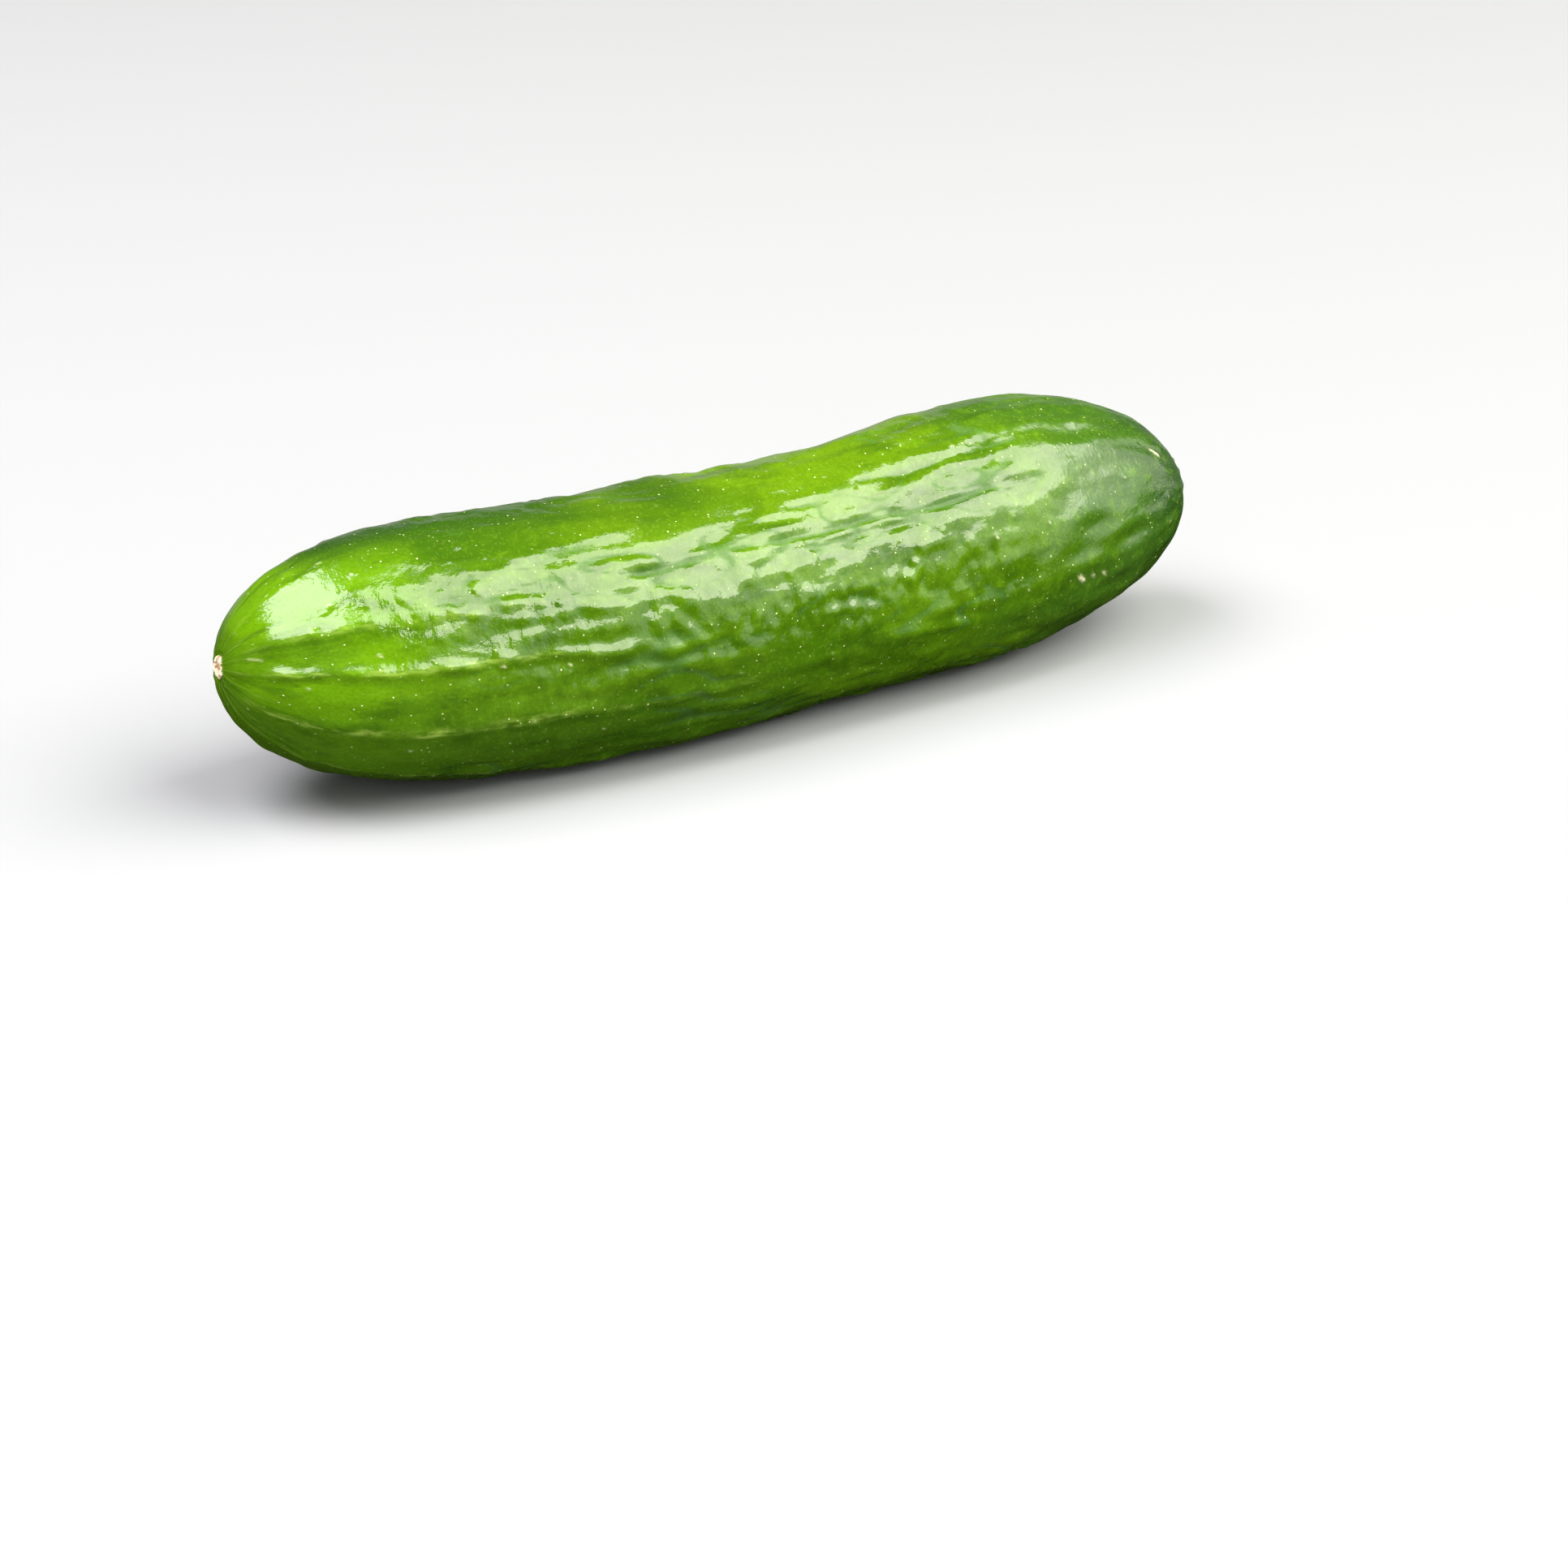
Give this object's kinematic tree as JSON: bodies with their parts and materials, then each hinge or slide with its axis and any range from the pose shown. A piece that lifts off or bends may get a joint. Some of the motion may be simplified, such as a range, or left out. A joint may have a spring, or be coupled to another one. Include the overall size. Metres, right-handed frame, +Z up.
{
  "type": "cucumber",
  "caption": "Small snack cucumber with a waxy ribbed green rind, a corky blossom scar at one end and a shallow stalk scar at the other, lying on its side.",
  "frame": {"origin": "on the surface it lies on, under the middle of its bounding box", "axes": "+Z up, X along the fruit with the stem end towards +X and the blossom end towards -X"},
  "size_m": [0.1398, 0.0372, 0.0335],
  "materials": {
    "waxy_rind": "waxy, satin"
  },
  "bodies": {
    "root": {"cucumber": "waxy_rind"}
  },
  "joints": []
}
